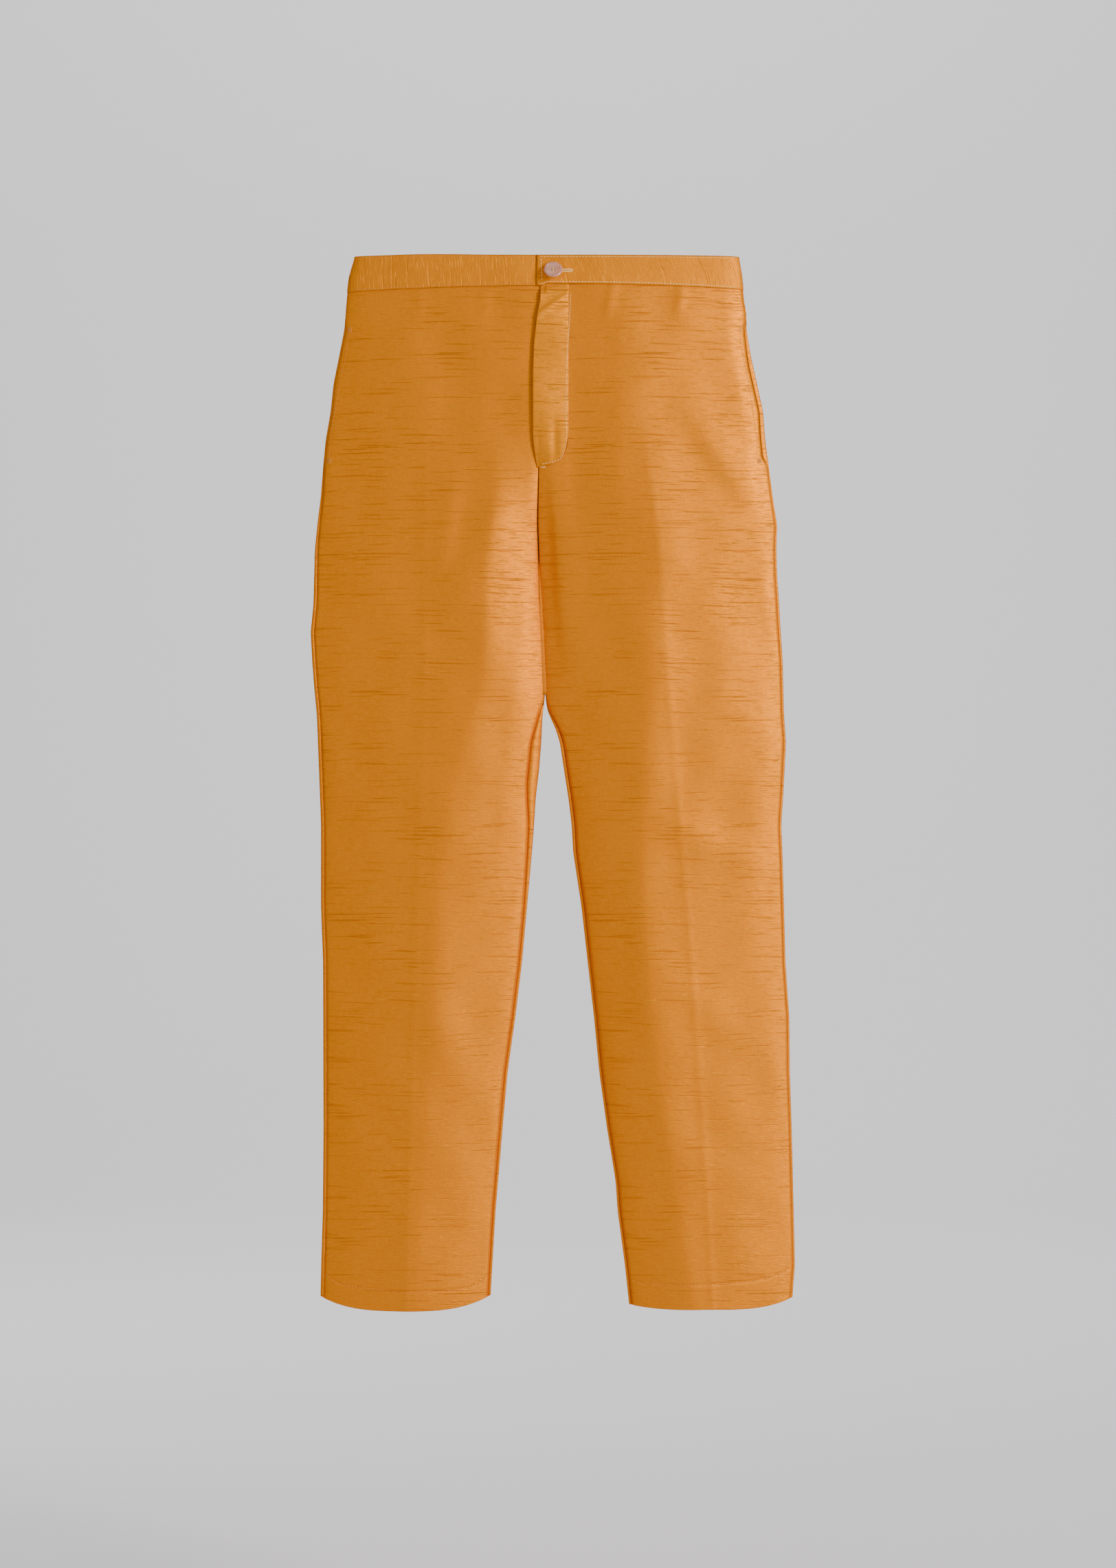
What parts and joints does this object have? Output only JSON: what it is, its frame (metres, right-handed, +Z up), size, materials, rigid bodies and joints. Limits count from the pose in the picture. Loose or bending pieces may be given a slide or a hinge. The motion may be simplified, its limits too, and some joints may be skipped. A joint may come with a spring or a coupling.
{
  "type": "flat-front trousers",
  "caption": "Straight-leg flat-front trousers in slubbed golden silk, with a buttoned waistband, a zip fly under a stitched flap, side pockets and hemmed legs.",
  "frame": {"origin": "centre of the waist opening, level with the waistband's top edge", "axes": "+Z up out of the waist, +X towards the wearer's left, the front faces -Y"},
  "size_m": [0.477, 0.0512, 1.038],
  "materials": {
    "silk": "satin slubbed silk",
    "silk_inside": "matt reverse of the silk",
    "thread": "satin",
    "pocket_cotton": "matt",
    "interlining": "matt",
    "zip_tape": "matt",
    "zip_resin": "satin",
    "zip_metal": "polished",
    "button_resin": "clear gloss"
  },
  "bodies": {
    "trousers": {"back_rise_seam": "silk_inside", "button_shank": "thread", "buttonhole_stitching": "thread", "fly_bartack": "thread", "fly_seam_allowance": "silk_inside", "fly_shield": "silk_inside", "fly_topstitch": "thread", "front_rise_seam": "silk_inside", "left_back_panel": "silk", "left_front_panel": "silk", "left_inseam": "silk_inside", "left_pocket_bag": "pocket_cotton", "left_pocket_bartacks": "thread", "left_pocket_facing": "silk_inside", "left_side_seam": "silk_inside", "left_thigh_back_panel": "silk", "left_thigh_front_panel": "silk", "left_waistband": "silk", "left_waistband_facing": "silk_inside", "left_waistband_interlining": "interlining", "left_zip_tape": "zip_tape", "left_zip_teeth": "zip_resin", "left_zip_top_stop": "zip_metal", "right_back_panel": "silk", "right_front_panel": "silk", "right_inseam": "silk_inside", "right_pocket_bag": "pocket_cotton", "right_pocket_bartacks": "thread", "right_pocket_facing": "silk_inside", "right_side_seam": "silk_inside", "right_thigh_back_panel": "silk", "right_thigh_front_panel": "silk", "right_waistband": "silk", "right_waistband_facing": "silk_inside", "right_waistband_interlining": "interlining", "right_zip_tape": "zip_tape", "right_zip_teeth": "zip_resin", "right_zip_top_stop": "zip_metal", "waistband_underlap": "silk", "zip_bottom_stop": "zip_metal"},
    "right_lower_leg": {"right_lower_front_panel": "silk", "right_lower_back_panel": "silk", "right_lower_side_seam": "silk_inside", "right_lower_inseam": "silk_inside", "right_hem": "silk_inside"},
    "left_lower_leg": {"left_lower_front_panel": "silk", "left_lower_back_panel": "silk", "left_lower_side_seam": "silk_inside", "left_lower_inseam": "silk_inside", "left_hem": "silk_inside"},
    "fly": {"fly_flap": "silk", "fly_facing": "silk_inside"},
    "zip_slider_body": {"zip_slider": "zip_metal"},
    "pull_tab_body": {"zip_pull_tab": "zip_metal"},
    "button_body": {"waist_button": "button_resin", "button_thread": "thread"}
  },
  "joints": [
    {"name": "right_knee", "type": "hinge", "parent": "trousers", "child": "right_lower_leg", "pos_m": [-0.121, 0.0206, -0.674], "axis": [1, 0, 0], "range_deg": [0, 120]},
    {"name": "left_knee", "type": "hinge", "parent": "trousers", "child": "left_lower_leg", "pos_m": [0.1375, 0.0206, -0.674], "axis": [1, 0, 0], "range_deg": [0, 120]},
    {"name": "fly_lift", "type": "hinge", "parent": "trousers", "child": "fly", "pos_m": [0.0228, -0.0214, -0.119], "axis": [0, 0.0147, 0.9999], "range_deg": [0, 75]},
    {"name": "zip_slide", "type": "slide", "parent": "trousers", "child": "zip_slider_body", "axis": [0, -0.0028, -1], "range_m": [0, 0.14]},
    {"name": "pull_tab_flip", "type": "hinge", "parent": "zip_slider_body", "child": "pull_tab_body", "pos_m": [0.003, -0.01559, -0.04719], "axis": [1, 0, 0], "range_deg": [-5, 0]},
    {"name": "button_tilt", "type": "hinge", "parent": "trousers", "child": "button_body", "pos_m": [0.0075, -0.02342, -0.0155], "axis": [0.9511, 0, -0.309], "range_deg": [-3, 15]}
  ]
}
